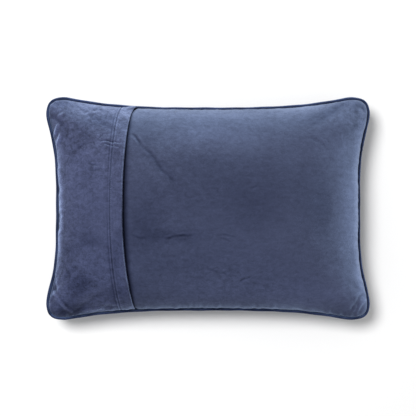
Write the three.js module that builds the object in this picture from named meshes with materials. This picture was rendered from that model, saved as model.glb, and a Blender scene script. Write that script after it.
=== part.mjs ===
// Needlepoint pillow of 20 by 14 inches. It lies on its worked front, with the velvet back up.
// Millimetres. X runs along the pillow, Y across it and Z up. The origin is the middle of the
// flat patch on which the front rests.

import * as THREE from "three";

// Outline over the piping, before its corners are rounded. It measures 495 by 341 once they are.
const LENGTH = 498;
const WIDTH = 343.5;
const SEAM_HEIGHT = 55;
const CROWN_HEIGHT = 68;
const BELLY_DEPTH = 66;
const CORNER_DROOP = 7;

// Cloth, trim and the clearance between pieces
const PIPING_RADIUS = 2.05;
const CANVAS_THICKNESS = 2.5;
const VELVET_THICKNESS = 1.4;
const HEM_THICKNESS = 2.2;
const CLEARANCE = 0.7;
const SEAM_INSET = 2 * PIPING_RADIUS + CLEARANCE;

// Each side is drawn in most at its middle. The bow ends softly at reach, a share of the half side.
const SIDES = {
  left: { drawnIn: 16.6, reach: 0.88, power: 4, bluntness: 2 },
  right: { drawnIn: 16.4, reach: 0.88, power: 4, bluntness: 2 },
  top: { drawnIn: 17.2, reach: 0.88, power: 3, bluntness: 1 },
  bottom: { drawnIn: 15.6, reach: 0.88, power: 3, bluntness: 1 },
};
const BOW_SOFTNESS = 0.08;

// A corner's round falls short of the square corner by this much along X and along Y.
const CORNER_CUT = 7;
const CUT_PER_RADIUS = 1 - Math.SQRT1_2;

// An inset acts on the outer part of the plan only, so that it stays square to the bowed sides.
const INSET_POWER = 8;

// Fullness of the filling: a high power keeps the crown level further out.
const FULLNESS = {
  along: { power: 2.8, rise: 0.45 },
  across: { power: 2.3, rise: 0.48 },
};
const FLOOR_SOFTNESS = 0.12;

// Uneven filling under the back: centre and spread as shares of the half size, rise in mm.
const LUMPS = [
  { u: -0.35, v: 0.3, spread: 0.3, rise: 1.6 },
  { u: 0.45, v: -0.35, spread: 0.35, rise: 1.8 },
  { u: 0.55, v: 0.45, spread: 0.22, rise: -1.4 },
  { u: -0.1, v: -0.5, spread: 0.25, rise: -1.5 },
];

// The flap's free edge: its X at the pillow's middle, its swing towards each seam and its flick there
const FLAP_EDGE_X = -125.1;
const FLAP_EDGE = {
  lower: { swing: 14, power: 1.95, flick: 0.3 },
  upper: { swing: 10.5, power: 2.3, flick: 3.8 },
};
const FLICK_POWER = 20;
const HEM_WIDTH = 18.8;
const HEM_SWING = 1.2;
const HEM_SKEW = 0.8;
const HEM_FOLD = 3;
const FLAP_LIE = 60; // the flap climbs onto the wide panel over this length
const FLAP_GAPE = 4; // at the place across where the free edge stands off most
const GAPE_MIDDLE = -0.15;
const GAPE_POWER = 2.5;
const NOTCH = 7; // beside the flap's edge the wide panel is drawn into the seam
const SEAM_TUCK_POWER = 8;

// Lattice cells between the anchors: left seam, hem line, hem fold, free edge, notch, right seam
const CELLS = [9, 1, 2, 1, 19];
const ROWS = 24;
const PIPING_SIDES = 8;

const clamp = (x, low, high) => Math.min(high, Math.max(low, x));
const smooth = (x) => clamp(x, 0, 1) ** 2 * (3 - 2 * clamp(x, 0, 1));
const sum = (list) => list.reduce((a, b) => a + b, 0);
const COLUMNS = sum(CELLS);
const FLAP_COLUMNS = sum(CELLS.slice(0, 3));
const HEM_COLUMN = CELLS[0];

function bow(side, t) {
  const inside = 1 - (Math.abs(t) / side.reach) ** side.power;
  const soft = (inside + Math.hypot(inside, BOW_SOFTNESS)) / 2;
  return side.drawnIn * soft ** side.bluntness;
}

const halfLength = (u, v) => LENGTH / 2 - bow(u < 0 ? SIDES.left : SIDES.right, v);
const halfWidth = (u, v) => WIDTH / 2 - bow(v < 0 ? SIDES.bottom : SIDES.top, u);

// Place in plan of (u, v), each from -1 to 1, on the outline drawn in by inset
function plan(u, v, inset) {
  const cut = CORNER_CUT - CUT_PER_RADIUS * inset;
  const uPower = (LENGTH / 2 / cut - 1) / 2;
  const vPower = (WIDTH / 2 / cut - 1) / 2;
  const pull = cut * Math.abs(u) ** uPower * Math.abs(v) ** vPower;
  return [
    u * (halfLength(u, v) - inset * Math.abs(u) ** INSET_POWER) - Math.sign(u) * pull,
    v * (halfWidth(u, v) - inset * Math.abs(v) ** INSET_POWER) - Math.sign(v) * pull,
  ];
}

const seamHeight = (u, v) => SEAM_HEIGHT - CORNER_DROOP * (u * v) ** 4;

function fullness(u, v) {
  const along = (1 - Math.abs(u) ** FULLNESS.along.power) ** FULLNESS.along.rise;
  const across = (1 - Math.abs(v) ** FULLNESS.across.power) ** FULLNESS.across.rise;
  return along * across;
}

function lumps(u, v) {
  const one = (l) => l.rise * Math.exp(-((u - l.u) ** 2 + (v - l.v) ** 2) / l.spread ** 2);
  return sum(LUMPS.map(one));
}

// A point of the back, and of the front, moved inwards by inset
function back(u, v, inset) {
  const [x, y] = plan(u, v, SEAM_INSET + inset);
  const height = CROWN_HEIGHT + lumps(u, v) - inset;
  return new THREE.Vector3(x, y, seamHeight(u, v) + height * fullness(u, v));
}

function front(u, v, inset, drop) {
  const [x, y] = plan(u, v, SEAM_INSET + inset);
  const top = seamHeight(u, v) - drop;
  return new THREE.Vector3(x, y, top - (top - inset) * pressed(fullness(u, v)));
}

// The belly's depth as a share of the seam's height, pressed flat by the floor where it reaches it
function pressed(full) {
  const free = (full * BELLY_DEPTH) / SEAM_HEIGHT;
  if (free < 1 - FLOOR_SOFTNESS) return free;
  if (free > 1 + FLOOR_SOFTNESS) return 1;
  return 1 - (1 + FLOOR_SOFTNESS - free) ** 2 / (4 * FLOOR_SOFTNESS);
}

// Lattice: rows and columns crowd towards the seam, and the columns follow the flap's edge
const rowPlace = (row) => Math.sin((Math.PI / 2) * ((2 * row) / ROWS - 1));
function flapEdgeX(v) {
  const { swing, power, flick } = v < 0 ? FLAP_EDGE.lower : FLAP_EDGE.upper;
  return FLAP_EDGE_X + swing * Math.abs(v) ** power + flick * Math.abs(v) ** FLICK_POWER;
}

const stationOf = (x, v) => (2 / Math.PI) * Math.asin(x / halfLength(-1, v));

function columnPlace(column, v) {
  const edge = flapEdgeX(v);
  const hemLine = edge - HEM_WIDTH - HEM_SWING * v ** 2 + HEM_SKEW * v;
  const anchors = [-1, hemLine, hemLine + HEM_FOLD, edge, edge + NOTCH, 1];
  const stations = anchors.map((a) => (Math.abs(a) === 1 ? a : stationOf(a, v)));
  let before = 0;
  let stretch = 0;
  while (column > before + CELLS[stretch]) before += CELLS[stretch++];
  const share = (column - before) / CELLS[stretch];
  const station = stations[stretch] + share * (stations[stretch + 1] - stations[stretch]);
  return Math.sin((Math.PI / 2) * station);
}

const places = [];
for (let row = 0; row <= ROWS; row++) {
  const v = rowPlace(row);
  places.push([...Array(COLUMNS + 1).keys()].map((column) => [columnPlace(column, v), v]));
}

// How far the flap has climbed onto the wide panel: 0 at the seams, 1 at its free edge
function climb(u, v) {
  const left = flapEdgeX(v) - u * halfLength(u, v);
  return smooth(1 - left / FLAP_LIE) * (1 - Math.abs(v) ** SEAM_TUCK_POWER);
}

const flapThickness = (column) => (column > HEM_COLUMN ? HEM_THICKNESS : VELVET_THICKNESS);

// The wide panel's surface lies under the flap, and beside the flap's edge it is tucked in
function panelInset(u, v, column) {
  if (column > FLAP_COLUMNS + 1) return 0;
  const full = flapThickness(Math.min(column, FLAP_COLUMNS)) + CLEARANCE;
  const tuck = column > FLAP_COLUMNS ? 0.5 : 1;
  return tuck * full * (1 - climb(u, v));
}

// How far the flap stands off the wide panel: 0 at both seams and behind its hem
function gape(u, v) {
  const half = v > GAPE_MIDDLE ? 1 - GAPE_MIDDLE : 1 + GAPE_MIDDLE;
  const across = 1 - (Math.abs(v - GAPE_MIDDLE) / half) ** GAPE_POWER;
  return FLAP_GAPE * across * smooth(1 - (flapEdgeX(v) - u * halfLength(u, v)) / HEM_WIDTH);
}

const flapInside = (u, v, column) => panelInset(u, v, column) - CLEARANCE - gape(u, v);
const flapOutside = (u, v, column) => flapInside(u, v, column) - flapThickness(column);

// The points of one face of a piece, as rows of columns up to the last column
const face = (point, last = COLUMNS) =>
  places.map((row) => row.slice(0, last + 1).map(([u, v], column) => point(u, v, column)));

// The edge of a lattice as [row, column] pairs, anticlockwise from above
function rim(rows, columns) {
  const loop = [];
  for (let c = 0; c < columns; c++) loop.push([0, c]);
  for (let r = 0; r < rows; r++) loop.push([r, columns]);
  for (let c = columns; c > 0; c--) loop.push([rows, c]);
  for (let r = rows; r > 0; r--) loop.push([r, 0]);
  return loop;
}

function geometryOf(points, index) {
  const flat = points.flatMap((p) => [p.x, p.y, p.z]);
  const geometry = new THREE.BufferGeometry();
  geometry.setAttribute("position", new THREE.Float32BufferAttribute(flat, 3));
  geometry.setIndex(index);
  geometry.computeVertexNormals();
  return geometry;
}

// A closed solid between an upper and a lower face of the same lattice
function between(upper, lower) {
  const rows = upper.length - 1;
  const columns = upper[0].length - 1;
  const count = (rows + 1) * (columns + 1);
  const at = (r, c) => r * (columns + 1) + c;
  const index = [];
  for (let r = 0; r < rows; r++) {
    for (let c = 0; c < columns; c++) {
      const [a, b, d, e] = [at(r, c), at(r, c + 1), at(r + 1, c + 1), at(r + 1, c)];
      index.push(a, b, d, a, d, e);
      index.push(count + a, count + d, count + b, count + a, count + e, count + d);
    }
  }
  const loop = rim(rows, columns).map(([r, c]) => at(r, c));
  loop.forEach((p, i) => {
    const q = loop[(i + 1) % loop.length];
    index.push(count + p, count + q, q, count + p, q, p);
  });
  return geometryOf([...upper.flat(), ...lower.flat()], index);
}

function pipingGeometry() {
  const path = rim(ROWS, COLUMNS).map(([r, c]) => {
    const [u, v] = places[r][c];
    const [x, y] = plan(u, v, PIPING_RADIUS);
    return new THREE.Vector3(x, y, seamHeight(u, v));
  });
  const up = new THREE.Vector3(0, 0, 1);
  const points = [];
  const index = [];
  path.forEach((centre, i) => {
    const next = path[(i + 1) % path.length];
    const last = path[(i + path.length - 1) % path.length];
    const outwards = next.clone().sub(last).cross(up).normalize();
    for (let k = 0; k < PIPING_SIDES; k++) {
      const turn = ((k + 0.5) / PIPING_SIDES) * 2 * Math.PI;
      points.push(
        centre
          .clone()
          .addScaledVector(outwards, PIPING_RADIUS * Math.cos(turn))
          .addScaledVector(up, PIPING_RADIUS * Math.sin(turn)),
      );
      const [a, b] = [i, (i + 1) % path.length].map((n) => n * PIPING_SIDES + k);
      const [d, e] = [b, a].map((n) => n - k + ((k + 1) % PIPING_SIDES));
      index.push(a, b, d, a, d, e);
    }
  });
  return geometryOf(points, index);
}

// Finishes, from the photograph
const velvet = { color: "#424a68", roughness: 0.9, metalness: 0 };
const FINISHES = {
  cushion_body: velvet,
  back_flap: velvet,
  piping: { color: "#2b3352", roughness: 0.85, metalness: 0 },
  needlepoint_front: { color: "#3c4a74", roughness: 0.95, metalness: 0 },
};

const bodyFloor = CANVAS_THICKNESS + CLEARANCE;
const GEOMETRIES = {
  cushion_body: between(
    face((u, v, column) => back(u, v, panelInset(u, v, column))),
    face((u, v) => front(u, v, bodyFloor, 0)),
  ),
  back_flap: between(
    face((u, v, column) => back(u, v, flapOutside(u, v, column)), FLAP_COLUMNS),
    face((u, v, column) => back(u, v, flapInside(u, v, column)), FLAP_COLUMNS),
  ),
  piping: pipingGeometry(),
  needlepoint_front: between(
    face((u, v) => front(u, v, CANVAS_THICKNESS, CLEARANCE)),
    face((u, v) => front(u, v, 0, CLEARANCE)),
  ),
};

const pillow = new THREE.Group();
for (const [name, geometry] of Object.entries(GEOMETRIES)) {
  const mesh = new THREE.Mesh(geometry, new THREE.MeshStandardMaterial(FINISHES[name]));
  mesh.name = name;
  pillow.add(mesh);
}

export default pillow;
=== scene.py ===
# Needlepoint pillow seen from straight above its velvet back. Metres, in the frame of the CAD model.

import math

import bpy
import numpy as np
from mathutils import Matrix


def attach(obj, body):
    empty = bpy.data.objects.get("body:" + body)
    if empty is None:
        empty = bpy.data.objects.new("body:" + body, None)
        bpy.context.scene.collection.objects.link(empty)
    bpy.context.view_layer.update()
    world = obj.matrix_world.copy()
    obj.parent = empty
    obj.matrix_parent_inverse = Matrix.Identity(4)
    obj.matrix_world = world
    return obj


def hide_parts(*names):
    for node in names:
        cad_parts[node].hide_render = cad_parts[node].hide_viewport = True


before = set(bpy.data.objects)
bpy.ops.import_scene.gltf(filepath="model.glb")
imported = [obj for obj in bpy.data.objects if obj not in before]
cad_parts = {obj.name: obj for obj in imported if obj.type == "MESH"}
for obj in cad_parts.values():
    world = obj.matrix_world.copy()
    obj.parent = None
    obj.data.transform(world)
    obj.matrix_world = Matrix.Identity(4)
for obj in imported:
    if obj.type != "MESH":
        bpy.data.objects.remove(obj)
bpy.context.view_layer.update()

MM = 0.001
TINY = 1e-12

# Driving sizes, the same as in the CAD model
LENGTH = 498 * MM
WIDTH = 343.5 * MM
SEAM_HEIGHT = 55 * MM
CROWN_HEIGHT = 68 * MM
BELLY_DEPTH = 66 * MM
CORNER_DROOP = 7 * MM
PIPING_RADIUS = 2.05 * MM
CANVAS_THICKNESS = 2.5 * MM
CLEARANCE = 0.7 * MM
SEAM_INSET = 2 * PIPING_RADIUS + CLEARANCE
CORNER_CUT = 7 * MM
CUT_PER_RADIUS = 1 - math.sqrt(0.5)
INSET_POWER = 8
SIDES = {
    "left": {"drawn_in": 16.6 * MM, "reach": 0.88, "power": 4, "bluntness": 2},
    "right": {"drawn_in": 16.4 * MM, "reach": 0.88, "power": 4, "bluntness": 2},
    "top": {"drawn_in": 17.2 * MM, "reach": 0.88, "power": 3, "bluntness": 1},
    "bottom": {"drawn_in": 15.6 * MM, "reach": 0.88, "power": 3, "bluntness": 1},
}
BOW_SOFTNESS = 0.08
FULLNESS_ALONG = {"power": 2.8, "rise": 0.45}
FULLNESS_ACROSS = {"power": 2.3, "rise": 0.48}
FLOOR_SOFTNESS = 0.12

# Soft waves of the front, which the CAD model leaves out
FRONT_WAVE = 7 * MM
FRONT_WAVE_RISE = 1.1 * MM
FRONT_WAVE_BEND = 1.2
FRONT_WAVE_POWER = 4

# The flap: its free edge, its hem and how it lies
FLAP_EDGE_X = -125.1 * MM
FLAP_EDGE_LOWER = {"swing": 14 * MM, "power": 1.95, "flick": 0.3 * MM}
FLAP_EDGE_UPPER = {"swing": 10.5 * MM, "power": 2.3, "flick": 3.8 * MM}
FLICK_POWER = 20
HEM_WIDTH = 18.8 * MM
HEM_SWING = 1.2 * MM
HEM_SKEW = 0.8 * MM
VELVET = 1.2 * MM
HEM = 2.6 * MM
FLAP_LIE = 60 * MM
FLAP_GAPE = 4.0 * MM
GAPE_MIDDLE = -0.15
GAPE_POWER = 2.5
NOTCH = 7 * MM
SEAM_TUCK_POWER = 8


# Shape of the pillow. Places are u along and v across, each from -1 to 1 between the seams.
def bow(side, t):
    s = SIDES[side]
    inside = 1 - (np.abs(t) / s["reach"]) ** s["power"]
    soft = (inside + np.sqrt(inside**2 + BOW_SOFTNESS**2)) / 2
    return s["drawn_in"] * soft ** s["bluntness"]


def half_length(u, v):
    return LENGTH / 2 - np.where(u < 0, bow("left", v), bow("right", v))


def half_width(u, v):
    return WIDTH / 2 - np.where(v < 0, bow("bottom", u), bow("top", u))


def plan(u, v, inset):
    """Place in plan on the outline drawn in by inset."""
    cut = CORNER_CUT - CUT_PER_RADIUS * inset
    pull = cut * np.abs(u) ** ((LENGTH / 2 / cut - 1) / 2) * np.abs(v) ** ((WIDTH / 2 / cut - 1) / 2)
    x = u * (half_length(u, v) - inset * np.abs(u) ** INSET_POWER) - np.sign(u) * pull
    y = v * (half_width(u, v) - inset * np.abs(v) ** INSET_POWER) - np.sign(v) * pull
    return x, y


def seam_height(u, v):
    return SEAM_HEIGHT - CORNER_DROOP * (u * v) ** 4


def fullness(u, v):
    along = (1 - np.abs(u) ** FULLNESS_ALONG["power"]) ** FULLNESS_ALONG["rise"]
    across = (1 - np.abs(v) ** FULLNESS_ACROSS["power"]) ** FULLNESS_ACROSS["rise"]
    return along * across


def back(u, v):
    """The back as filled, before its cloth settles."""
    x, y = plan(u, v, SEAM_INSET)
    return np.stack([x, y, seam_height(u, v) + CROWN_HEIGHT * fullness(u, v)], -1)


def pressed(full):
    """The belly's depth as a share of the seam's height, flat where the floor bears it."""
    free = full * BELLY_DEPTH / SEAM_HEIGHT
    soft = 1 - (1 + FLOOR_SOFTNESS - free) ** 2 / (4 * FLOOR_SOFTNESS)
    return np.where(free < 1 - FLOOR_SOFTNESS, free, np.where(free > 1 + FLOOR_SOFTNESS, 1, soft))


def bent_wave(run, slower, start):
    """A wave along a run, stretched and squeezed by a slower one."""
    turn = run / FRONT_WAVE
    return np.sin(turn + FRONT_WAVE_BEND * np.sin(turn / slower + start))


def front_waves(u, v, full):
    """Soft waves of the front between the seam and where the floor bears it."""
    ends = bent_wave(v * WIDTH / 2, slower=1.7, start=0) * u**FRONT_WAVE_POWER
    sides = bent_wave(u * LENGTH / 2, slower=2.3, start=1) * v**FRONT_WAVE_POWER
    return FRONT_WAVE_RISE * (ends + sides) * 4 * full * (1 - full)


def front(u, v, inset, drop):
    """The front, moved inwards by inset, from drop below the seam."""
    x, y = plan(u, v, SEAM_INSET + inset)
    top = seam_height(u, v) - drop
    full = pressed(fullness(u, v))
    return np.stack([x, y, top - (top - inset) * full + front_waves(u, v, full)], -1)


def flap_edge(v):
    halves = [
        half["swing"] * np.abs(v) ** half["power"] + half["flick"] * np.abs(v) ** FLICK_POWER
        for half in (FLAP_EDGE_LOWER, FLAP_EDGE_UPPER)
    ]
    return FLAP_EDGE_X + np.where(v < 0, *halves)


def hem_line(v):
    return flap_edge(v) - HEM_WIDTH - HEM_SWING * v**2 + HEM_SKEW * v


# Stations run evenly along the cloth. They crowd towards the seams, where it turns down.
CROWDING = 0.6


def place_of(station):
    return (1 - CROWDING) * station + CROWDING * np.sin(math.pi / 2 * station)


STATIONS = np.linspace(-1, 1, 4001)


def station_of(place):
    return np.interp(place, place_of(STATIONS), STATIONS)


def smooth(x):
    """A soft step from 0 to 1 as x goes from 0 to 1."""
    x = np.clip(x, 0, 1)
    return x * x * (3 - 2 * x)


def hump(off):
    """A soft hump, 1 where off is 0 and nearly gone where it is 2."""
    return np.exp(-(off**2))


def wavering(run, waves):
    """A sum of waves along a run."""
    return sum(w["share"] * np.sin(run / w["length"] + w["start"]) for w in waves)


# Settling: the filling presses on a cover that has cloth to ease in along its seams
SIM_COLUMNS = 150
SIM_ROWS = 104
SIM_FRAMES = 20
SETTLE_CAP = 9 * MM
PUCKER_CELLS = 9
PUCKERS_KEPT = {"left": 0.5, "right": 0.3}
SOFTENING_CELLS = 1
EASE = {"left": 0.035, "right": 0.012, "top": 0.012, "bottom": 0.014}
EASE_REACH = 30 * MM
STRETCH = 0.01
SETTLING = {
    "quality": 6,
    "mass": 0.02,
    "tension_stiffness": 60,
    "compression_stiffness": 10,
    "shear_stiffness": 3,
    "bending_stiffness": 0.1,
    "tension_damping": 3,
    "compression_damping": 3,
    "shear_damping": 1,
    "air_damping": 1,
    "uniform_pressure_force": 15,
}


def blurred(field, cells):
    """A lattice field under a Gaussian blur of that many cells."""
    reach = int(3 * cells) + 1
    weights = np.exp(-0.5 * (np.arange(-reach, reach + 1) / cells) ** 2)
    weights /= weights.sum()
    for axis in (0, 1):
        spread = [(reach, reach) if a == axis else (0, 0) for a in range(field.ndim)]
        padded = np.pad(field, spread, mode="reflect", reflect_type="odd")
        slices = [np.take(padded, np.arange(k, k + field.shape[axis]), axis) for k in range(2 * reach + 1)]
        field = sum(w * part for w, part in zip(weights, slices))
    return field


def ease(points):
    """Cloth to spare at each point, as a share of its length."""
    x, y = points[..., 0], points[..., 1]
    spare = np.full_like(x, -STRETCH)
    distances = {
        "left": x + LENGTH / 2,
        "right": LENGTH / 2 - x,
        "bottom": y + WIDTH / 2,
        "top": WIDTH / 2 - y,
    }
    for side, distance in distances.items():
        spare = np.maximum(spare, (EASE[side] + STRETCH) * hump(distance / EASE_REACH) - STRETCH)
    return spare


def cloth_from(points, sewn):
    """A cloth object over a lattice of points, held where it is sewn down and full along its seams."""
    mesh = bpy.data.meshes.new("settling")
    mesh.from_pydata(points.reshape(-1, 3).tolist(), [], quads(*points.shape[:2]))
    cloth = bpy.data.objects.new("settling", mesh)
    bpy.context.scene.collection.objects.link(cloth)
    seam = cloth.vertex_groups.new(name="seam")
    seam.add(np.flatnonzero(sewn.ravel()).tolist(), 1.0, "REPLACE")
    most = max(EASE.values())
    taut = cloth.vertex_groups.new(name="taut")
    for i, share in enumerate((most - ease(points).ravel()) / (most + STRETCH)):
        taut.add([i], float(share), "REPLACE")
    modifier = cloth.modifiers.new("settle", "CLOTH")
    settings = modifier.settings
    settings.vertex_group_mass = "seam"
    settings.vertex_group_shrink = "taut"
    settings.shrink_min = -most
    settings.shrink_max = STRETCH
    for name, value in SETTLING.items():
        setattr(settings, name, value)
    settings.use_pressure = True
    settings.effector_weights.gravity = 0
    modifier.collision_settings.use_collision = False
    modifier.point_cache.frame_start = 1
    modifier.point_cache.frame_end = SIM_FRAMES
    return cloth


def settled_back():
    """How far each point of an even lattice moves as the cloth settles, and the small puckers in that."""
    s = np.linspace(-1, 1, SIM_COLUMNS + 1)
    t = np.linspace(-1, 1, SIM_ROWS + 1)
    v, u = np.meshgrid(place_of(t), place_of(s), indexing="ij")
    start = back(u, v)
    cloth = cloth_from(start, sewn=(np.abs(u) == 1) | (np.abs(v) == 1))
    for step in range(1, SIM_FRAMES + 1):
        bpy.context.scene.frame_set(step)
    shown = cloth.evaluated_get(bpy.context.evaluated_depsgraph_get())
    end = np.zeros(start.size, np.float32)
    shown.data.vertices.foreach_get("co", end)
    bpy.context.scene.frame_set(1)
    bpy.data.objects.remove(cloth)
    move = blurred(end.reshape(start.shape) - start, SOFTENING_CELLS)
    size = np.linalg.norm(move, axis=-1, keepdims=True)
    move *= np.minimum(1, SETTLE_CAP / np.maximum(size, TINY))
    broad = blurred(move, PUCKER_CELLS)
    kept = np.interp(s, (-1, 1), (PUCKERS_KEPT["left"], PUCKERS_KEPT["right"]))
    puckers = (move - broad) * kept[:, None]
    return broad + puckers, puckers


def quads(rows, columns, flip=False):
    """Faces of a lattice whose points are numbered row by row, seen from above."""
    a = (np.arange(rows - 1)[:, None] * columns + np.arange(columns - 1)).ravel()
    faces = np.stack([a, a + 1, a + columns + 1, a + columns], 1)
    return (faces[:, ::-1] if flip else faces).tolist()


def cubic_weights(f):
    """Weights of four points in a row, for a place that is the share f from the second to the third."""
    return np.stack(
        [
            -0.5 * f + f**2 - 0.5 * f**3,
            1 - 2.5 * f**2 + 1.5 * f**3,
            0.5 * f + 2 * f**2 - 1.5 * f**3,
            -0.5 * f**2 + 0.5 * f**3,
        ]
    )


def sampled(field, s, t):
    """A lattice field read at stations s and t, by cubic interpolation."""
    rows, columns = field.shape[:2]
    x = (s + 1) / 2 * (columns - 1)
    y = (t + 1) / 2 * (rows - 1)
    i = np.clip(np.floor(x).astype(int), 0, columns - 2)
    j = np.clip(np.floor(y).astype(int), 0, rows - 2)
    wx, wy = cubic_weights(x - i), cubic_weights(y - j)
    out = np.zeros(s.shape + field.shape[2:])
    for a in range(4):
        for b in range(4):
            near = field[np.clip(j + b - 1, 0, rows - 1), np.clip(i + a - 1, 0, columns - 1)]
            out += near * (wx[a] * wy[b])[..., None]
    return out


def normals(points):
    """Outward normals of a lattice seen from above."""
    across = np.gradient(points, axis=1)
    along = np.gradient(points, axis=0)
    n = np.cross(across, along)
    return n / np.maximum(np.linalg.norm(n, axis=-1, keepdims=True), TINY)


# Meshes
def make_piece(name, points, faces, material, slot):
    mesh = bpy.data.meshes.new(name)
    mesh.from_pydata(np.asarray(points).reshape(-1, 3).tolist(), [], faces)
    mesh.polygons.foreach_set("use_smooth", [True] * len(faces))
    mesh.materials.append(material)
    mesh.update()
    piece = bpy.data.objects.new(name, mesh)
    bpy.context.scene.collection.objects.link(piece)
    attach(piece, "root")
    return piece


def pile(piece, **strengths):
    """Stores each point's painted light and shade and how crushed its pile is, 1 where nothing alters
    them.
    """
    for name, values in strengths.items():
        attribute = piece.data.attributes.new(name, "FLOAT", "POINT")
        attribute.data.foreach_set("value", np.asarray(values, np.float32).ravel())


def rim(rows, columns):
    """The edge of a lattice as point numbers, anticlockwise from above."""
    first = list(range(columns - 1))
    last = [r * columns + columns - 1 for r in range(rows - 1)]
    back_row = [(rows - 1) * columns + c for c in range(columns - 1, 0, -1)]
    back_column = [r * columns for r in range(rows - 1, 0, -1)]
    return first + last + back_row + back_column


def wall(fine, coarse, coarser):
    """Faces between two rims. The coarse one has one step for every coarser steps of the fine one."""
    fine, coarse = [*fine, fine[0]], [*coarse, coarse[0]]
    faces = []
    for k in range(len(coarse) - 1):
        along = fine[k * coarser : (k + 1) * coarser + 1]
        faces.append([*along, coarse[k + 1], coarse[k]])
    return faces


def shell(upper, lower, coarser=1):
    """A closed solid between two faces. The lower lattice has one cell for every coarser cells."""
    count = upper.shape[0] * upper.shape[1]
    faces = quads(*upper.shape[:2])
    faces += [[count + k for k in face] for face in quads(*lower.shape[:2], flip=True)]
    below = [count + k for k in rim(*lower.shape[:2])]
    faces += [face[::-1] for face in wall(rim(*upper.shape[:2]), below, coarser)]
    return np.concatenate([upper.reshape(-1, 3), lower.reshape(-1, 3)]), faces


# Creases and ridges of the back, each along a bowed line in plan, in mm. A negative rise is a crease.
CREASES = [
    {"x0": -164, "y0": 100, "x1": -122, "y1": 94, "bow": 0.8, "width": 1.6, "rise": -0.9},
    {"x0": -163, "y0": 103, "x1": -152, "y1": 111, "bow": 0, "width": 1.5, "rise": -0.7},
    {"x0": -160, "y0": 95.5, "x1": -126, "y1": 90.5, "bow": 0.5, "width": 1.5, "rise": -0.6},
    {"x0": -162, "y0": 98, "x1": -124, "y1": 92.4, "bow": 0.6, "width": 1.3, "rise": 0.5},
    {"x0": -178, "y0": 66.6, "x1": -159, "y1": 62, "bow": 0.6, "width": 1.5, "rise": -0.5},
    {"x0": -175, "y0": 73, "x1": -168, "y1": 66, "bow": 0, "width": 1.6, "rise": 0.6},
    {"x0": -178, "y0": 52.4, "x1": -144, "y1": 53.4, "bow": 4, "width": 1.6, "rise": -0.45},
    {"x0": -180, "y0": 40, "x1": -166, "y1": 54, "bow": 1.5, "width": 1.6, "rise": -0.4},
    {"x0": -196, "y0": 84, "x1": -176, "y1": 98, "bow": 2, "width": 2.4, "rise": -0.5},
    {"x0": -178, "y0": 148, "x1": -146, "y1": 141, "bow": 3, "width": 2, "rise": -0.5},
    {"x0": -187, "y0": 139, "x1": -160, "y1": 147, "bow": 2, "width": 2, "rise": 0.5},
    {"x0": -115, "y0": 111, "x1": -98, "y1": 94, "bow": 2, "width": 1.8, "rise": -0.65},
    {"x0": -106, "y0": 100, "x1": -68, "y1": 62, "bow": 1, "width": 2.2, "rise": -0.3},
    {"x0": -82, "y0": 74, "x1": -46, "y1": 36, "bow": -1.5, "width": 2.2, "rise": -0.3},
    {"x0": -100, "y0": 90, "x1": -40, "y1": 30, "bow": 2, "width": 7, "rise": -0.25},
    {"x0": -66, "y0": -44.4, "x1": -17, "y1": -37.5, "bow": 0.8, "width": 1.6, "rise": -0.75},
    {"x0": -116, "y0": -38.4, "x1": -86, "y1": -43, "bow": -0.8, "width": 1.6, "rise": -0.4},
    {"x0": 8, "y0": -38, "x1": 46, "y1": -43.5, "bow": 1.2, "width": 1.5, "rise": -0.4},
    {"x0": 14, "y0": -42, "x1": 36, "y1": -50, "bow": 0.4, "width": 1.5, "rise": -0.3},
    {"x0": 44, "y0": -107.4, "x1": 66, "y1": -101, "bow": 0.4, "width": 1.7, "rise": -0.95},
    {"x0": -4, "y0": -88, "x1": 32, "y1": -101, "bow": 1.5, "width": 2.2, "rise": -0.35},
    {"x0": 150, "y0": 106, "x1": 176, "y1": 90, "bow": 1, "width": 2.4, "rise": -0.2},
    {"x0": 60, "y0": 25.3, "x1": 74, "y1": 34.4, "bow": 0.8, "width": 1.5, "rise": -0.25},
    {"x0": -231, "y0": -98, "x1": -223, "y1": -131, "bow": 0, "width": 2, "rise": 0.7},
    {"x0": -238, "y0": -122, "x1": -203, "y1": -161, "bow": -2, "width": 2.2, "rise": 1.25},
    {"x0": -241, "y0": -131, "x1": -213, "y1": -163, "bow": -3, "width": 3, "rise": -0.35},
    {"x0": -198, "y0": -157, "x1": -152, "y1": -150, "bow": 1, "width": 2, "rise": 0.7},
    {"x0": -162, "y0": -146, "x1": -130, "y1": -144, "bow": 1.5, "width": 2, "rise": 0.5},
    {"x0": -226, "y0": 131, "x1": -236, "y1": 103, "bow": 1, "width": 2.4, "rise": 1.2},
    {"x0": -221, "y0": 115, "x1": -231, "y1": 87, "bow": 1, "width": 2.4, "rise": 1.2},
    {"x0": -214, "y0": 146, "x1": -226, "y1": 137, "bow": 0, "width": 2.4, "rise": 0.6},
    {"x0": 214, "y0": -157, "x1": 240, "y1": -126, "bow": 2, "width": 2.4, "rise": -0.9},
    {"x0": 224, "y0": -160, "x1": 243, "y1": -137, "bow": 2, "width": 2.2, "rise": 1.0},
    {"x0": 231, "y0": 157, "x1": 238, "y1": 135, "bow": 1.5, "width": 2.6, "rise": -0.6},
]
CREASE_LIP = {"share": 0.4, "off": 2}
CREASE_END = 0.25
CREASE_PULSE = {"share": 0.25, "length": 3.4}
CREASE_WANDER = 1.1 * MM
CREASE_WAVES = [
    {"share": 0.7, "length": 5.7, "start": 0},
    {"share": 0.3, "length": 2.3, "start": 1},
]

# Painted light that a ridge or pucker gains, and a crease or hollow loses, for each mm of its height
CREASE_SHADE = 0.35
PUCKER_SHADE = 0.2
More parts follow.
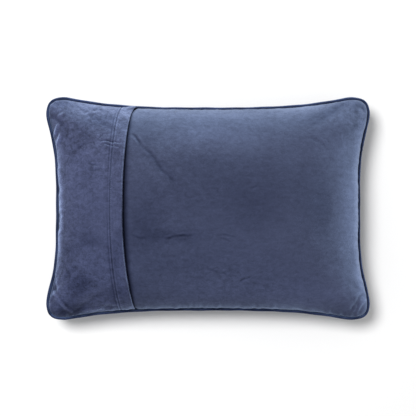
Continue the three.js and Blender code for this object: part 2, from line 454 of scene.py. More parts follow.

# Spots of painted light and shade, and of pile brushed lighter or darker: middle and reach in mm
LIGHT_AND_BRUSH_SPOTS = [
    {"x": 0, "y": 110, "wide": 90, "high": 23, "gain": 0.36},
    {"x": -84, "y": 104, "wide": 40, "high": 16, "gain": -0.12},
    {"x": -112, "y": 140, "wide": 26, "high": 11, "gain": 0.2},
    {"x": 40, "y": 18, "wide": 150, "high": 55, "gain": -0.13},
    {"x": -50, "y": -40, "wide": 40, "high": 9, "gain": -0.14},
    {"x": 10, "y": -118, "wide": 100, "high": 24, "gain": 0.22},
    {"x": 150, "y": -140, "wide": 70, "high": 26, "gain": 0.4},
    {"x": 140, "y": 108, "wide": 34, "high": 16, "gain": -0.08},
    {"x": 140, "y": 154, "wide": 40, "high": 9, "gain": 0.25},
    {"x": 212, "y": 5, "wide": 24, "high": 105, "gain": 0.5},
    {"x": 208, "y": 118, "wide": 22, "high": 16, "gain": -0.17},
    {"x": 228, "y": -148, "wide": 16, "high": 14, "gain": 0.2},
    {"x": -95, "y": -35, "wide": 30, "high": 48, "gain": -0.12},
    {"x": 70, "y": -70, "wide": 60, "high": 30, "gain": 0.06},
    {"x": -178, "y": 25, "wide": 44, "high": 60, "gain": 0.12},
    {"x": -140, "y": 92, "wide": 12, "high": 16, "gain": -0.15},
    {"x": -145, "y": -68, "wide": 30, "high": 34, "gain": -0.06},
    {"x": -138, "y": -90, "wide": 8, "high": 46, "gain": -0.1},
    {"x": -205, "y": 154, "wide": 22, "high": 10, "gain": 0.22},
    {"x": -178, "y": 148, "wide": 24, "high": 12, "gain": 0.25},
    {"x": -205, "y": 122, "wide": 18, "high": 13, "gain": -0.08},
    {"x": -184, "y": 106, "wide": 18, "high": 24, "gain": -0.16},
    {"x": -205, "y": 84, "wide": 13, "high": 12, "gain": -0.05},
    {"x": -178, "y": 86, "wide": 7, "high": 8, "gain": 0.2},
    {"x": -218, "y": 92, "wide": 9, "high": 18, "gain": 0.12},
    {"x": -205, "y": 35, "wide": 16, "high": 52, "gain": 0.2},
    {"x": -219, "y": -55, "wide": 8, "high": 26, "gain": 0.12},
    {"x": -213, "y": -62, "wide": 13, "high": 10, "gain": -0.15},
    {"x": -196, "y": -116, "wide": 20, "high": 24, "gain": -0.22},
    {"x": -158, "y": -120, "wide": 16, "high": 24, "gain": 0.12},
    {"x": -178, "y": -141, "wide": 18, "high": 12, "gain": 0.25},
    {"x": -226, "y": -146, "wide": 14, "high": 16, "gain": 0.06},
    {"x": -177, "y": -109, "wide": 15, "high": 12, "gain": -0.12},
    {"x": -171, "y": -49, "wide": 18, "high": 8, "gain": -0.1},
]

# Where the pile is crushed more or less than elsewhere
CRUSHED = [
    {"x": -205, "y": 105, "wide": 60, "high": 50, "gain": 0.3},
    {"x": -200, "y": -115, "wide": 50, "high": 42, "gain": 0.35},
    {"x": -150, "y": -25, "wide": 36, "high": 60, "gain": -0.35},
    {"x": -70, "y": -10, "wide": 50, "high": 150, "gain": 0.35},
    {"x": 30, "y": -112, "wide": 80, "high": 30, "gain": 0.8},
    {"x": 120, "y": 0, "wide": 70, "high": 90, "gain": -0.25},
    {"x": 215, "y": 140, "wide": 40, "high": 25, "gain": 0.8},
]

# The velvet's rim along each seam, in mm: it bulges over the piping in gathers, and recess is how far in
# from the seam a painted shade reaches where the rim draws back from it
GATHERS = {
    "left": {"overhang": 0.8, "rise": 0.45, "pitch": 29, "sway": 0.9, "recess": 2.4},
    "right": {"overhang": 1.2, "rise": 0.3, "pitch": 19, "sway": -0.6, "recess": 1.0},
    "top": {"overhang": 1.4, "rise": 0.25, "pitch": 23, "sway": 0.2, "recess": 0.3},
    "bottom": {"overhang": 0.9, "rise": 0.6, "pitch": 21, "sway": 0.4, "recess": 0.9},
}

# Painted light and shade on the pile where it turns down at the seams: at and reach along the side from -1
# to 1, the others in mm
PAINTED_RIM_LIGHT = [
    {"side": "left", "at": 0.0, "reach": 0.5, "inwards": 5.0, "wide": 4, "gain": 0.85},
    {"side": "left", "at": 0.62, "reach": 0.2, "inwards": 7, "wide": 7, "gain": 0.5},
    {"side": "left", "at": -0.72, "reach": 0.2, "inwards": 11, "wide": 8, "gain": 0.35},
    {"side": "top", "at": 0.0, "reach": 0.45, "inwards": 6, "wide": 6, "gain": -0.12},
    {"side": "bottom", "at": 0.1, "reach": 0.8, "inwards": 2, "wide": 5, "gain": -0.12},
    {"side": "right", "at": -0.1, "reach": 0.85, "inwards": 3, "wide": 6, "gain": 0.4},
    {"side": "right", "at": 0.7, "reach": 0.2, "inwards": 8, "wide": 7, "gain": 0.4},
    {"side": "right", "at": -0.72, "reach": 0.2, "inwards": 8, "wide": 7, "gain": 0.4},
]
RIM_LIGHT_WANDER = 0.8
RIM_LIGHT_END_POWER = 4

# Gathers: folds whose pitch changes along the seam, on a slow sway in and out
GATHER_FOLDS = {"broad": 0.55, "fine": 0.45, "rate": 1.73}
GATHER_SWAY = {"broad": 0.8, "fine": 0.5, "rate": 2.6, "length": 130 * MM}
PITCH_CHANGE = [
    {"share": 0.5, "length": 41, "start": 0},
    {"share": 0.25, "length": 17, "start": 1},
]
GATHER_START = 1.6 * MM
GATHER_REACH = 9 * MM
GATHER_END = 0.06
RECESS_SHADE = 0.6
RECESS_BLUR = 1.2
RECESS_END = 0.6


def creased(x, y):
    """Height of the creases and ridges at places in plan."""
    height = np.zeros_like(x)
    for c in CREASES:
        start = np.array([c["x0"], c["y0"]]) * MM
        way = np.array([c["x1"], c["y1"]]) * MM - start
        length = np.hypot(*way)
        way /= length
        share = ((x - start[0]) * way[0] + (y - start[1]) * way[1]) / length
        inside = np.clip(share, 0, 1)
        beside = (y - start[1]) * way[0] - (x - start[0]) * way[1]
        beside -= c["bow"] * MM * 4 * inside * (1 - inside)
        run = share * length / MM + c["x0"]
        beside += CREASE_WANDER * wavering(run, CREASE_WAVES)
        off = beside / (c["width"] * MM)
        fade = smooth(share / CREASE_END) * smooth((1 - share) / CREASE_END)
        fade *= 1 + CREASE_PULSE["share"] * (np.sin(run / CREASE_PULSE["length"]) - 1)
        lips = CREASE_LIP["share"] * hump(np.abs(off) - CREASE_LIP["off"])
        height += c["rise"] * MM * fade * (hump(off) - lips)
    return height


def gathered(u, v):
    """Height of the gathers along the seams, and the painted light and shade on their pile."""
    height, painted_rim_shading = np.zeros_like(u), np.zeros_like(u)
    sides = {
        "left": (1 + u, LENGTH, v, WIDTH),
        "right": (1 - u, LENGTH, v, WIDTH),
        "bottom": (1 + v, WIDTH, u, LENGTH),
        "top": (1 - v, WIDTH, u, LENGTH),
    }
    for side, (off, across, place, along) in sides.items():
        g = GATHERS[side]
        inwards = off * across / 2
        run = place * along / 2
        turn = 2 * math.pi * (run / MM / g["pitch"] + wavering(run / MM, PITCH_CHANGE))
        folds = GATHER_FOLDS["broad"] * np.cos(turn)
        folds += GATHER_FOLDS["fine"] * np.cos(GATHER_FOLDS["rate"] * turn + 1)
        swing = 2 * math.pi * run / GATHER_SWAY["length"]
        sway = GATHER_SWAY["fine"] * np.sin(GATHER_SWAY["rate"] * swing + 1)
        sway -= GATHER_SWAY["broad"] * np.cos(swing)
        near = smooth(inwards / GATHER_START) * hump(inwards / GATHER_REACH)
        near *= smooth((1 - np.abs(place)) / GATHER_END)
        height += (g["overhang"] + g["rise"] * folds + g["sway"] * sway) * MM * near
        # Painted shade along the seam where the rim draws back from the piping
        recess = g["recess"] * np.clip((1 - sway) / 2, 0, 1)
        painted_recess_shade = RECESS_SHADE * smooth((1 - np.abs(place)) / RECESS_END)
        painted_rim_shading -= painted_recess_shade * (1 - smooth((inwards / MM - recess) / RECESS_BLUR + 0.5))
        for b in (b for b in PAINTED_RIM_LIGHT if b["side"] == side):
            level = np.exp(-(((place - b["at"]) / b["reach"]) ** RIM_LIGHT_END_POWER))
            middle = b["inwards"] - g["sway"] * sway - RIM_LIGHT_WANDER * folds
            painted_rim_shading += b["gain"] * level * hump((inwards / MM - middle) / b["wide"])
    return height, painted_rim_shading


def spotted(spots, x, y):
    """How strong something is at places in plan: 1, and more or less where the spots are."""
    strength = np.ones_like(x)
    for p in spots:
        off = ((x - p["x"] * MM) / (p["wide"] * MM)) ** 2 + ((y - p["y"] * MM) / (p["high"] * MM)) ** 2
        strength += p["gain"] * np.exp(-off)
    return strength


# Materials
def new_material(name, settings):
    """A material with these values on its shader, which is returned with its node tree."""
    material = bpy.data.materials.new(name)
    material.use_nodes = True
    shader = material.node_tree.nodes["Principled BSDF"]
    for socket, value in settings.items():
        shader.inputs[socket].default_value = value
    return material, material.node_tree, shader


class Maths:
    """Shader arithmetic on values and vectors."""

    def __init__(self, tree):
        self.tree = tree

    def node(self, kind, inputs, **settings):
        node = self.tree.nodes.new(kind)
        for name, value in settings.items():
            setattr(node, name, value)
        for slot, value in inputs.items():
            if isinstance(value, bpy.types.NodeSocket):
                self.tree.links.new(value, node.inputs[slot])
            else:
                node.inputs[slot].default_value = value
        return node

    def value(self, operation, *inputs):
        return self.node("ShaderNodeMath", dict(enumerate(inputs)), operation=operation).outputs[0]

    def vector(self, operation, *inputs):
        return self.node("ShaderNodeVectorMath", dict(enumerate(inputs)), operation=operation)

    def noise(self, place, scale, detail, roughness=0.5, stretch=(1, 1, 1), swirl=0.0):
        """Noise from -0.5 to 0.5. A roughness near 1 makes its finest detail as strong as its broadest."""
        inputs = {
            "Vector": self.vector("MULTIPLY", place, stretch).outputs[0],
            "Scale": scale,
            "Detail": detail,
            "Roughness": roughness,
            "Distortion": swirl,
        }
        noise = self.node("ShaderNodeTexNoise", inputs)
        return self.value("SUBTRACT", noise.outputs["Fac"], 0.5)

    def scaled(self, value, by):
        return self.value("MULTIPLY", value, by)

    def lit(self, color, by):
        """A colour made lighter or darker."""
        inputs = {"Vector": color, "Scale": by}
        return self.node("ShaderNodeVectorMath", inputs, operation="SCALE").outputs[0]

    def attribute(self, name):
        return self.node("ShaderNodeAttribute", {}, attribute_name=name).outputs["Fac"]


# Painted sheen: the colour follows the slope of the surface, tilted by the pile's lean to the upper right,
# so slopes that face up and right are lighter and the steepest turn darker again.
NAP_LEAN = (0.45, 0.45, 0.0)
COLOUR_AND_SHEEN_BY_SLOPE = [
    {"at": 0.00, "color": (0.0385, 0.049, 0.101)},
    {"at": 0.20, "color": (0.045, 0.053, 0.097)},
    {"at": 0.28, "color": (0.058, 0.073, 0.132)},
    {"at": 0.36, "color": (0.082, 0.107, 0.184)},
    {"at": 0.45, "color": (0.105, 0.138, 0.233)},
    {"at": 0.55, "color": (0.150, 0.192, 0.315)},
    {"at": 0.75, "color": (0.215, 0.270, 0.415)},
    {"at": 1.00, "color": (0.120, 0.155, 0.250)},
]
LEAN_SPREAD = 0.06
DEPTH_OF_SHADE = 0.6
PILE_HEIGHT = 0.5
STREAKY = 0.3
SHEEN_TINT = (0.6, 0.75, 1.0, 1.0)
VELVET_SHADER = {
    "Roughness": 0.95,
    "Specular IOR Level": 0.08,
    "Sheen Weight": 0.15,
    "Sheen Roughness": 0.4,
    "Sheen Tint": SHEEN_TINT,
}


def velvet_material(name, tone=1, tint=(1, 1, 1), patchy=0.1, crushed=1.2, rumpled=1, grain=(1.3, 6, 1)):
    """Velvet with painted sheen by the slope of its surface and the lean of its pile. The points' own
    shade is painted light and shade, darker in creases and recesses, lighter on ridges and rims.
    """
    material, tree, shader = new_material(name, VELVET_SHADER)
    maths = Maths(tree)
    place = tree.nodes.new("ShaderNodeTexCoord").outputs["Object"]
    pile = maths.noise(place, scale=1400, detail=2)
    ripple = maths.noise(place, scale=90, detail=4, roughness=0.65)
    height = maths.value("ADD", maths.scaled(pile, PILE_HEIGHT), maths.scaled(ripple, rumpled))
    bump = maths.node("ShaderNodeBump", {"Height": height, "Strength": 0.35, "Distance": 1.2 * MM})
    facing = maths.node(
        "ShaderNodeVectorTransform",
        {"Vector": bump.outputs["Normal"]},
        vector_type="NORMAL",
        convert_from="WORLD",
        convert_to="OBJECT",
    )
    leaning = maths.vector("ADD", facing.outputs[0], NAP_LEAN).outputs[0]
    unit = maths.vector("NORMALIZE", leaning).outputs[0]
    upright = maths.vector("DOT_PRODUCT", unit, (0, 0, 1)).outputs["Value"]
    patches = maths.noise(place, scale=30, detail=2)
    crush = maths.noise(place, scale=150, detail=5, roughness=0.95, stretch=(0.75, 1, 1), swirl=0.5)
    crush = maths.scaled(crush, maths.attribute("crush"))
    streaks = maths.noise(place, scale=40, detail=4, stretch=grain)
    spread = maths.scaled(maths.value("ADD", patches, crush), LEAN_SPREAD)
    # Painted sheen: how far the surface, tilted by the pile's lean, turns from straight up
    sheen_slope = maths.value("ADD", maths.value("SUBTRACT", 1, upright), spread)
    ramp = tree.nodes.new("ShaderNodeValToRGB")
    ramp.color_ramp.interpolation = "B_SPLINE"
    stops = ramp.color_ramp.elements
    while len(stops) < len(COLOUR_AND_SHEEN_BY_SLOPE):
        stops.new(1)
    for stop, wanted in zip(stops, COLOUR_AND_SHEEN_BY_SLOPE):
        stop.position = wanted["at"]
        stop.color = (*[c * t for c, t in zip(wanted["color"], tint)], 1)
    tree.links.new(sheen_slope, ramp.inputs["Fac"])
    uneven = maths.value("ADD", maths.scaled(patches, patchy), maths.scaled(crush, crushed))
    uneven = maths.value("ADD", uneven, maths.scaled(streaks, STREAKY))
    shade = maths.attribute("shade")
    strength = maths.scaled(maths.value("ADD", uneven, 1), maths.scaled(shade, tone))
    darker = maths.value("MAXIMUM", maths.value("SUBTRACT", 1, shade), 0)
    richer = maths.value("ADD", 1, maths.scaled(darker, DEPTH_OF_SHADE))
    deep = maths.node("ShaderNodeGamma", {"Color": ramp.outputs["Color"], "Gamma": richer})
    tree.links.new(maths.lit(deep.outputs[0], strength), shader.inputs["Base Color"])
    tree.links.new(bump.outputs["Normal"], shader.inputs["Normal"])
    return material


def plain_material(name, color, roughness):
    settings = {"Base Color": (*color, 1), "Roughness": roughness, "Specular IOR Level": 0.1}
    return new_material(name, settings)[0]


WOOL_TINT = (0.075, 0.100, 0.185)
WOOL_FADE = 0.3
STRAND_TONE = 0.5
WOOL_SHADER = {
    "Roughness": 0.9,
    "Specular IOR Level": 0.15,
    "Sheen Weight": 0.2,
    "Sheen Roughness": 0.5,
    "Sheen Tint": SHEEN_TINT,
}


def wool_material(name):
    """Wool in strands. The points' own shade gives each stitch its tone, and is painted shade in the holes
    between stitches.
    """
    material, tree, shader = new_material(name, WOOL_SHADER)
    maths = Maths(tree)
    place = tree.nodes.new("ShaderNodeTexCoord").outputs["Object"]
    strands = maths.noise(place, scale=1900, detail=2)
    bump = maths.node("ShaderNodeBump", {"Height": strands, "Strength": 0.6, "Distance": 0.4 * MM})
    faded = maths.scaled(maths.noise(place, scale=14, detail=3), WOOL_FADE)
    tone = maths.value("ADD", maths.value("ADD", 1, faded), maths.scaled(strands, STRAND_TONE))
    tone = maths.value("MULTIPLY", tone, maths.attribute("shade"))
    tree.links.new(maths.lit(WOOL_TINT, tone), shader.inputs["Base Color"])
    tree.links.new(bump.outputs["Normal"], shader.inputs["Normal"])
    return material


velvet = velvet_material("velvet")
flap_velvet = velvet_material(
    "flap_velvet",
    tone=1.1,
    tint=(1.01, 0.99, 1.02),
    patchy=0.3,
    crushed=2.6,
    rumpled=2.5,
    grain=(9, 0.9, 1),
)
piping_velvet = velvet_material("piping_velvet", tone=0.55, tint=(0.85, 1, 1.25))
wool = wool_material("wool")
thread = plain_material("thread", (0.030, 0.038, 0.075), 0.7)

# Back of the pillow: the wide panel over the filling, and the flap over it
MOVES, PUCKERS = settled_back()

# Cells from the left seam to the hem, the flap's edge, the end of the notch and the right seam
PANEL_CELLS = [22, 6, 8, 300]
PANEL_ROWS = 256
COARSER = 4


def row_stations(v, anchors, cells):
    """Stations of the columns at row v, which follow the flap's edge and hem."""
    inner = [float(station_of(x / half_length(np.array(-1.0), v))) for x in anchors]
    sides = [-1.0, *inner, 1.0]
    parts = [np.linspace(a, b, n, endpoint=False) for a, b, n in zip(sides, sides[1:], cells)]
    return np.concatenate([*parts, [1.0]])


def back_surface(s, t):
    """The settled, creased back at stations s and t: points, normals, v, the painted light and shade, and
    the crush of the pile.
    """
    u, v = place_of(s), place_of(t)
    points = back(u, v) + sampled(MOVES, s, t)
    outward = normals(points)
    gathers, painted_rim_shading = gathered(u, v)
    raised = (outward * sampled(PUCKERS, s, t)).sum(-1)
    x, y = points[..., 0], points[..., 1]
    creases = creased(x, y)
    light = spotted(LIGHT_AND_BRUSH_SPOTS, x, y) + painted_rim_shading + (CREASE_SHADE * creases + PUCKER_SHADE * raised) / MM
    crush = spotted(CRUSHED, x, y)
    points += outward * (gathers + creases)[..., None]
    return points, normals(points), v, light, crush


def climb(x, v):
    """How far the flap has climbed onto the wide panel: 0 at the seams, 1 at its free edge."""
    return smooth(1 - (flap_edge(v) - x) / FLAP_LIE) * (1 - np.abs(v) ** SEAM_TUCK_POWER)


def gape(v):
    """Lift of the flap's free edge off the wide panel."""
    half = np.where(v > GAPE_MIDDLE, 1 - GAPE_MIDDLE, 1 + GAPE_MIDDLE)
    return FLAP_GAPE * (1 - (np.abs(v - GAPE_MIDDLE) / half) ** GAPE_POWER)


# Shade beside the flap's edge: it reaches further where the flap gapes, and fades towards the seams
GAP_SHADE = 0.5
GAP_SHADE_REACH = {"least": 2.75 * MM, "more": 3.3 * MM}
GAP_SHADE_POWER = 2.4
GAP_SHADE_FADE = 0.3
NOTCH_SINK = 0.7


def gap_shade(beside, v):
    """Light that is left beside the flap's edge, and under the flap."""
    reach = GAP_SHADE_REACH["least"] + GAP_SHADE_REACH["more"] * gape(v) / FLAP_GAPE
    dark = np.exp(-((np.maximum(0, beside) / reach) ** GAP_SHADE_POWER)) * (1 - GAP_SHADE_FADE * v**2)
    return 1 - GAP_SHADE * np.where(beside < 0, 1, dark)


def cushion():
    t = np.linspace(-1, 1, PANEL_ROWS + 1)
    rows = []
    for v in place_of(t):
        edge = flap_edge(v)
        rows.append(row_stations(v, [edge - HEM_WIDTH, edge, edge + NOTCH], PANEL_CELLS))
    s = np.array(rows)
    t = np.broadcast_to(t[:, None], s.shape)
    points, outward, v, light, crush = back_surface(s, t)
    x = points[..., 0]
    beside = x - flap_edge(v)
    under = np.where(beside < 0, 1, NOTCH_SINK * smooth(1 - beside / NOTCH))
    sink = under * (HEM + CLEARANCE) * (1 - climb(np.minimum(x, flap_edge(v)), v))
    upper = points - outward * sink[..., None]
    every = (slice(None, None, COARSER), slice(None, None, COARSER))
    lower = front(place_of(s[every]), place_of(t[every]), CANVAS_THICKNESS + CLEARANCE, 0)
    piece = make_piece("cushion_back", *shell(upper, lower, COARSER), velvet, "velvet_back")
    light *= gap_shade(beside, v)
    underneath = np.ones(lower.shape[:2])
    pile(piece, shade=np.append(light, underneath), crush=np.append(crush, underneath))
    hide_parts("cushion_body")


# Cells from the left seam to before, on and beyond the stitches, and to the points of the rounded edge
FLAP_CELLS = [72, 6, 4, 14, 2, 1, 1, 1, 1]
FLAP_ROWS = 384
NOSE = HEM / 2 * (1 - np.cos(np.linspace(math.pi / 2, 0, 5)))
BEFORE_STITCHES = 5 * MM
BEYOND_STITCHES = 2 * MM

# The hem is thicker than the rest, and the flap rises a little where it lies on the wide panel
HEM_STEP = {"before": 1 * MM, "run": 3 * MM}
UNDERLAP = 46 * MM
UNDERLAP_RISE = 0.35 * MM
UNDERLAP_RUN = 5 * MM

# Stitching of the hem: a groove between lips, with painted shade on the groove and on a second line beside
# it, and painted light on its flanks
STITCH_GROOVE = 0.5 * MM
STITCH_GROOVE_WIDTH = 1.0 * MM
STITCH_LIP = 0.22 * MM
STITCH_LIP_OFF = 2.6
STITCH_SHADE = 0.24
SECOND_LINE = {"off": 3.6 * MM, "shade": 0.192}
FLANK_SHADE = 0.14
FLANK_OFF = 2.2

# At both ends the free edge stands up and reaches over the piping
END_FLICK = 2.2 * MM
END_REACH_OVER = 3.0 * MM
END_LIFT = 3.6 * MM
END_REACH = 24 * MM
END_REACH_ACROSS = 0.06


def stitch_shade(to_hem):
    """Painted light and shade of the pile near the hem's stitching, 1 away from it."""
    off = to_hem / STITCH_GROOVE_WIDTH
    second = (to_hem + SECOND_LINE["off"]) / STITCH_GROOVE_WIDTH
    lines = STITCH_SHADE * hump(off) + SECOND_LINE["shade"] * hump(second)
    return 1 - lines + FLANK_SHADE * hump(np.abs(off) - FLANK_OFF)


def flap():
    t = np.linspace(-1, 1, FLAP_ROWS + 1)
    rows = []
    for v in place_of(t):
        hem = hem_line(v)
        anchors = [hem - BEFORE_STITCHES, hem, hem + BEYOND_STITCHES, *(flap_edge(v) - NOSE)]
        rows.append(row_stations(v, anchors, FLAP_CELLS)[:-1])
    s = np.array(rows)
    t = np.broadcast_to(t[:, None], s.shape)
    points, outward, v, light, crush = back_surface(s, t)
    x = points[..., 0]
    to_edge = np.maximum(0, flap_edge(v) - x)
    to_hem = x - hem_line(v)
    round_off = np.sqrt(np.clip(1 - np.maximum(0, 1 - to_edge / (HEM / 2)) ** 2, 0, 1))
    thick = VELVET + (HEM - VELVET) * smooth((to_hem + HEM_STEP["before"]) / HEM_STEP["run"])
    off = to_hem / STITCH_GROOVE_WIDTH
    relief = STITCH_LIP * hump(np.abs(off) - STITCH_LIP_OFF) - STITCH_GROOVE * hump(off)
    ridge = UNDERLAP_RISE * smooth((x - flap_edge(v) + UNDERLAP) / UNDERLAP_RUN)
    lift = climb(x, v)
    opened = gape(v) * smooth(1 - to_edge / HEM_WIDTH)
    middle = lift * (thick / 2 + CLEARANCE) - (1 - lift) * thick / 2 + opened + ridge * lift
    end = smooth((v - 1 + END_REACH_ACROSS) / END_REACH_ACROSS) * smooth(1 - to_edge / END_REACH)
    over = end[..., None] * np.array([END_FLICK, END_REACH_OVER, END_LIFT])
    upper = points + outward * (middle + thick / 2 * round_off + relief)[..., None] + over
    lower = points + outward * (middle - thick / 2 * round_off)[..., None] + over
    piece = make_piece("back_flap_cloth", *shell(upper, lower), flap_velvet, "velvet_back")
    light *= stitch_shade(to_hem)
    pile(piece, shade=np.stack([light, np.ones_like(x)]), crush=np.stack([crush, crush]))
    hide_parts("back_flap")
    hem_column = sum(FLAP_CELLS[:2])
    hem_stitches(upper[:, hem_column], outward[:, hem_column])


STITCH_PITCH = 3.0 * MM
STITCH_LENGTH = 2.3 * MM
STITCH_RADIUS = 0.32 * MM
STITCH_SIDES = 6
STITCH_ENDS = [-1, -0.8, 0.8, 1]
STITCH_WIDTHS = [0.35, 1, 1, 0.35]


def hem_stitches(line, outward):
    """A row of stitches, each a short bar of thread with tapered ends, sunk in the hem's groove."""
    steps = np.linalg.norm(np.diff(line, axis=0), axis=1)
    length = np.concatenate([[0], np.cumsum(steps)])
    middles = np.arange(2 * STITCH_PITCH, length[-1] - 2 * STITCH_PITCH, STITCH_PITCH)
    rings = len(STITCH_ENDS)
    turn = np.arange(STITCH_SIDES) / STITCH_SIDES * 2 * math.pi
    tube = looped(rings, STITCH_SIDES)[: (rings - 1) * STITCH_SIDES]
    points, faces = [], []
    for middle in middles:
        at = middle + np.array(STITCH_ENDS) * STITCH_LENGTH / 2
        centre = np.stack([np.interp(at, length, line[:, k]) for k in range(3)], -1)
        up = np.stack([np.interp(at, length, outward[:, k]) for k in range(3)], -1)
        side = np.cross(centre[-1] - centre[0], up[0])
        side /= np.linalg.norm(side)
        first = len(points) * rings * STITCH_SIDES
        last = first + (rings - 1) * STITCH_SIDES
        around = np.cos(turn)[None, :, None] * side + np.sin(turn)[None, :, None] * up[:, None]
        points.append(centre[:, None] + STITCH_RADIUS * np.array(STITCH_WIDTHS)[:, None, None] * around)
        faces += (tube + first).tolist()
        faces.append([first + k for k in range(STITCH_SIDES)][::-1])
        faces.append([last + k for k in range(STITCH_SIDES)])
    make_piece("hem_stitches", np.array(points), faces, thread, "velvet_back")


# The stitched front: each stitch slants across one square of the canvas
STITCHES_ALONG = 200
STITCHES_ACROSS = 140
STITCH_RISE = 0.7 * MM
CROWN_SHARES = (0.3, 0.7)
STITCH_SEED = 3
TONE_SPREAD = 0.14
# Painted shade in the holes of the canvas between stitches
HOLE_SHADE = 0.35
CANVAS_COARSER = 4


def even_places(count, line):
    """Places that cut a line of points into equal lengths."""
    fine = np.linspace(-1, 1, 2001)
    return np.interp(np.linspace(-1, 1, count + 1), arc_share(line(fine)), fine)


def arc_share(points):
    """Each point's place along a line of points, from -1 to 1 by length."""
    steps = np.linalg.norm(np.diff(points, axis=0), axis=1)
    length = np.concatenate([[0], np.cumsum(steps)])
    return 2 * length / length[-1] - 1


def canvas():
    u = even_places(STITCHES_ALONG, lambda a: front(a, 0 * a, 0, 0))
    v = even_places(STITCHES_ACROSS, lambda a: front(0 * a, a, 0, 0))
    u, v = np.meshgrid(u, v)
    rows, columns = u.shape
    holes = front(u, v, STITCH_RISE, CLEARANCE)
    edge = (np.abs(u) == 1) | (np.abs(v) == 1)
    holes[edge] = front(u, v, 0, CLEARANCE)[edge]
    crowns = []
    for share in CROWN_SHARES:
        mid_u = u[:-1, :-1] + share * (u[1:, 1:] - u[:-1, :-1])
        mid_v = v[:-1, :-1] + share * (v[1:, 1:] - v[:-1, :-1])
        crowns.append(front(mid_u, mid_v, 0, CLEARANCE))
    every = (slice(None, None, CANVAS_COARSER), slice(None, None, CANVAS_COARSER))
    inner = front(u[every], v[every], CANVAS_THICKNESS, CLEARANCE)
    count = inner.shape[0] * inner.shape[1]
    a = count + (np.arange(rows - 1)[:, None] * columns + np.arange(columns - 1)).ravel()
    b, c, d = a + 1, a + columns + 1, a + columns
    first = count + rows * columns + np.arange(a.size)
    second = first + a.size
    triangles = [
        (a, first, b),
        (b, first, second),
        (b, second, c),
        (c, second, d),
        (d, second, first),
        (d, first, a),
    ]
    faces = np.concatenate([np.stack(corners, 1) for corners in triangles]).tolist()
    faces += quads(*inner.shape[:2])
    faces += wall([count + k for k in rim(rows, columns)], rim(*inner.shape[:2]), CANVAS_COARSER)
    parts = [part.reshape(-1, 3) for part in (inner, holes, *crowns)]
    piece = make_piece("needlepoint", np.concatenate(parts), faces, wool, "needlepoint_wool")
    # Each stitch has its own tone at random; painted shade darkens the holes of the canvas between them
    tones = np.random.default_rng(STITCH_SEED).uniform(1 - TONE_SPREAD, 1 + TONE_SPREAD, a.size)
    hole_shades = np.full(inner.size // 3 + holes.size // 3, HOLE_SHADE)
    pile(piece, shade=np.concatenate([hole_shades, tones, tones]))
    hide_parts("needlepoint_front")


# The piping: a covered cord, and its tongue of cloth that is sewn in between back and front
PIPING_STEPS_ALONG = 290
PIPING_STEPS_ACROSS = 200
PIPING_SIDES = 14
PIPING_LIGHT = {"top": 0.2, "right": 0.05}
PIPING_WAVER = 0.3 * MM
PIPING_WAVES = [
    {"share": 0.6, "length": 7 * MM, "start": 0},
    {"share": 0.4, "length": 17 * MM, "start": 1},
]
PIPING_PATCHES = 0.22
PATCH_WAVES = [
    {"share": 0.6, "length": 11 * MM, "start": 0},
    {"share": 0.4, "length": 4.3 * MM, "start": 2},
]
TONGUE_DEPTH = 2.4 * MM
TONGUE = 0.3 * MM


def looped(rings, sides):
    """Faces of a closed loop of rings, each numbered ring by ring."""
    i, k = np.meshgrid(np.arange(rings), np.arange(sides), indexing="ij")
    j, m = (i + 1) % rings, (k + 1) % sides
    corners = [i * sides + k, j * sides + k, j * sides + m, i * sides + m]
    return np.stack(corners, -1).reshape(-1, 4)


def piping():
    a = place_of(np.linspace(-1, 1, PIPING_STEPS_ALONG + 1))[:-1]
    b = place_of(np.linspace(-1, 1, PIPING_STEPS_ACROSS + 1))[:-1]
    u = np.concatenate([a, np.ones_like(b), -a, -np.ones_like(b)])
    v = np.concatenate([-np.ones_like(a), b, np.ones_like(a), -b])
    path = np.stack([*plan(u, v, PIPING_RADIUS), seam_height(u, v)], -1)
    along = np.roll(path, -1, 0) - np.roll(path, 1, 0)
    out = np.cross(along, (0, 0, 1))
    out /= np.linalg.norm(out, axis=1, keepdims=True)
    run = np.cumsum(np.linalg.norm(along, axis=1)) / 2
    path += PIPING_WAVER * wavering(run, PIPING_WAVES)[:, None] * out
    up = np.array([0, 0, 1.0])
    turn = np.arange(PIPING_SIDES) / PIPING_SIDES * 2 * math.pi
    around = np.cos(turn)[None, :, None] * out[:, None] + np.sin(turn)[None, :, None] * up
    cord = path[:, None] + PIPING_RADIUS * around
    shelf = path - up * CLEARANCE / 2
    inner = shelf - out * (PIPING_RADIUS + CLEARANCE + TONGUE_DEPTH)
    outer = shelf - out * (PIPING_RADIUS - TONGUE)
    half = up * TONGUE / 2
    tongue = np.stack([outer + half, inner + half, inner - half, outer - half], 1)
    faces = looped(len(path), PIPING_SIDES).tolist()
    faces += (looped(len(path), 4) + len(path) * PIPING_SIDES).tolist()
    points = np.concatenate([cord.reshape(-1, 3), tongue.reshape(-1, 3)])
    piece = make_piece("piping_cord", points, faces, piping_velvet, "velvet_piping")
    # Painted light: the piping's top and right sides are lighter, and it is lighter and darker in patches
    # along its length
    lit = 1 + PIPING_LIGHT["top"] * np.maximum(0, out[:, 1])
    lit += PIPING_LIGHT["right"] * np.maximum(0, out[:, 0])
    lit *= 1 + PIPING_PATCHES * wavering(run, PATCH_WAVES)
    shade = np.concatenate([np.repeat(lit, PIPING_SIDES), np.repeat(lit, 4)])
    pile(piece, shade=shade, crush=np.ones_like(shade))
    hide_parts("piping")


cushion()
flap()
canvas()
piping()

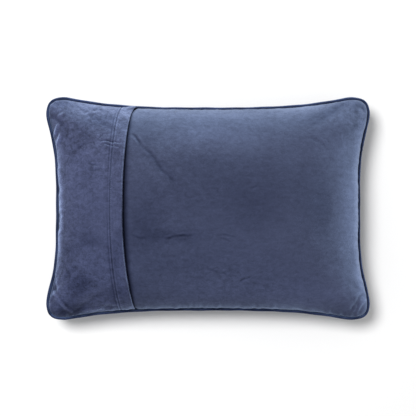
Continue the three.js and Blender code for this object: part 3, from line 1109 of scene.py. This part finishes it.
# Camera, straight down. PIXEL is what a pixel of the photograph spans at the height of the seam.
LENS = 85
SENSOR = 36
IMAGE_PIXELS = 416
PIXEL = 1.528 * MM
ABOVE_MIDDLE = 0.5 * PIXEL
camera_data = bpy.data.cameras.new("camera")
camera_data.lens = LENS
camera_data.sensor_width = SENSOR
camera = bpy.data.objects.new("camera", camera_data)
camera.location = (0, ABOVE_MIDDLE, SEAM_HEIGHT + IMAGE_PIXELS * PIXEL * LENS / SENSOR)
bpy.context.scene.collection.objects.link(camera)
bpy.context.scene.camera = camera

# Floor
FLOOR_HALF = 4
floor_corners = [(x * FLOOR_HALF, y * FLOOR_HALF, 0) for x, y in ((-1, -1), (1, -1), (1, 1), (-1, 1))]
floor_mesh = bpy.data.meshes.new("floor")
floor_mesh.from_pydata(floor_corners, [], [(0, 1, 2, 3)])
floor_mesh.materials.append(plain_material("floor", (0.91, 0.91, 0.91), 0.9))
floor = bpy.data.objects.new("floor", floor_mesh)
bpy.context.scene.collection.objects.link(floor)

# Light: a soft round lamp at the upper left, and an even white world
LAMP_AZIMUTH = math.radians(138)
LAMP_ELEVATION = math.radians(65)
LAMP_DISTANCE = 3.2
LAMP_SIZE = 1.3
LAMP_POWER = 87
WORLD_STRENGTH = 0.48
lamp_data = bpy.data.lights.new("key", "AREA")
lamp_data.shape = "DISK"
lamp_data.size = LAMP_SIZE
lamp_data.energy = LAMP_POWER
lamp = bpy.data.objects.new("key", lamp_data)
aside = LAMP_DISTANCE * math.cos(LAMP_ELEVATION)
lamp.location = (
    aside * math.cos(LAMP_AZIMUTH),
    aside * math.sin(LAMP_AZIMUTH),
    LAMP_DISTANCE * math.sin(LAMP_ELEVATION),
)
lamp.rotation_mode = "QUATERNION"
lamp.rotation_quaternion = (-lamp.location).to_track_quat("-Z", "Y")
bpy.context.scene.collection.objects.link(lamp)
world = bpy.data.worlds.new("world")
world.use_nodes = True
background = world.node_tree.nodes["Background"]
background.inputs["Color"].default_value = (1, 1, 1, 1)
background.inputs["Strength"].default_value = WORLD_STRENGTH
bpy.context.scene.world = world
bpy.context.scene.view_settings.view_transform = "Standard"
